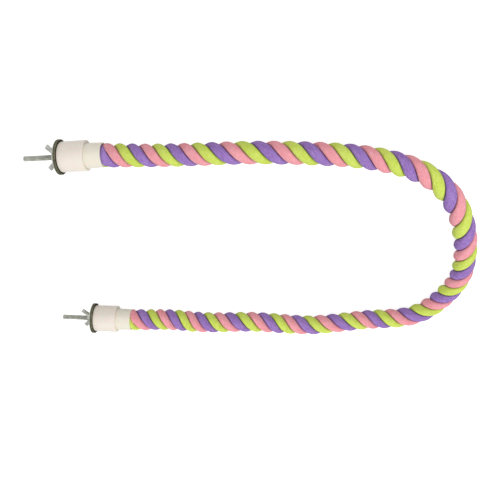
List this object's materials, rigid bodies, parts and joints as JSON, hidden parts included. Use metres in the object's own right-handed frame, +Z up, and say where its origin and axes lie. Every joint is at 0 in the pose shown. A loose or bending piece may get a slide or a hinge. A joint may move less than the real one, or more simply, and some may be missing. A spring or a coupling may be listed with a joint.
{
  "type": "rope bird perch",
  "caption": "Bendable three-strand cotton rope perch bent to a U, with a plastic end fitting, bolt, clamping washers and wing nut at each end.",
  "frame": {"origin": "on the surface that the perch lies on, under the middle of its bounding box", "axes": "+Z up, legs along X within 3 degrees, with the bolts pointing to -X and the bend at +X, left leg at +Y"},
  "size_m": [0.5146, 0.3146, 0.038],
  "materials": {
    "cotton_purple": "soft spun cotton, dyed purple",
    "cotton_pink": "soft spun cotton, dyed pink",
    "cotton_lime": "soft spun cotton, dyed lime green",
    "wire_steel": "annealed galvanised wire",
    "sleeve_plastic": "moulded rigid plastic, yellowish cream",
    "cap_plastic": "moulded rigid plastic, pinkish cream",
    "bolt_zinc": "zinc plated",
    "washer_steel": "zinc plated, dulled to olive grey",
    "nut_zinc": "bright zinc plated, cast",
    "resin": "cured resin",
    "tape": "cloth tape"
  },
  "bodies": {
    "perch": {"strand_purple": "cotton_purple", "strand_pink": "cotton_pink", "strand_lime": "cotton_lime", "core_wire": "wire_steel", "left_sleeve": "sleeve_plastic", "left_cap": "cap_plastic", "left_bolt": "bolt_zinc", "left_head_washer": "washer_steel", "left_resin_plug": "resin", "left_whipping": "tape", "left_inner_washer": "washer_steel"},
    "left_washer": {"left_outer_washer": "washer_steel"},
    "left_nut": {"left_wing_nut": "nut_zinc"},
    "right_end": {"right_sleeve": "sleeve_plastic", "right_cap": "cap_plastic", "right_bolt": "bolt_zinc", "right_head_washer": "washer_steel", "right_resin_plug": "resin", "right_whipping": "tape", "right_inner_washer": "washer_steel"},
    "right_washer": {"right_outer_washer": "washer_steel"},
    "right_nut": {"right_wing_nut": "nut_zinc"}
  },
  "joints": [
    {"name": "left_washer_slide", "type": "slide", "parent": "perch", "child": "left_washer", "axis": [-0.999, -0.0436, 0], "range_m": [0, 0.02]},
    {"name": "left_nut_turn", "type": "hinge", "parent": "left_washer", "child": "left_nut", "pos_m": [-0.18605, 0.13777, 0.019], "axis": [-0.999, -0.0436, 0], "range_deg": [0, 7200]},
    {"name": "rope_bend", "type": "hinge", "parent": "perch", "child": "right_end", "pos_m": [0.24541, -0.01097, 0.013], "axis": [0, 0, 1], "range_deg": [-25, 35], "deforming": ["strand_purple", "strand_pink", "strand_lime", "core_wire"]},
    {"name": "right_washer_slide", "type": "slide", "parent": "right_end", "child": "right_washer", "axis": [-0.999, 0.0436, 0], "range_m": [0, 0.02]},
    {"name": "right_nut_turn", "type": "hinge", "parent": "right_washer", "child": "right_nut", "pos_m": [-0.21605, -0.13477, 0.019], "axis": [-0.999, 0.0436, 0], "range_deg": [0, 7200]}
  ],
  "couplings": [
    {"joint": "left_nut_turn", "follows": "left_washer_slide", "rad_per_m": 6283.1},
    {"joint": "right_nut_turn", "follows": "right_washer_slide", "rad_per_m": 6283.1}
  ]
}
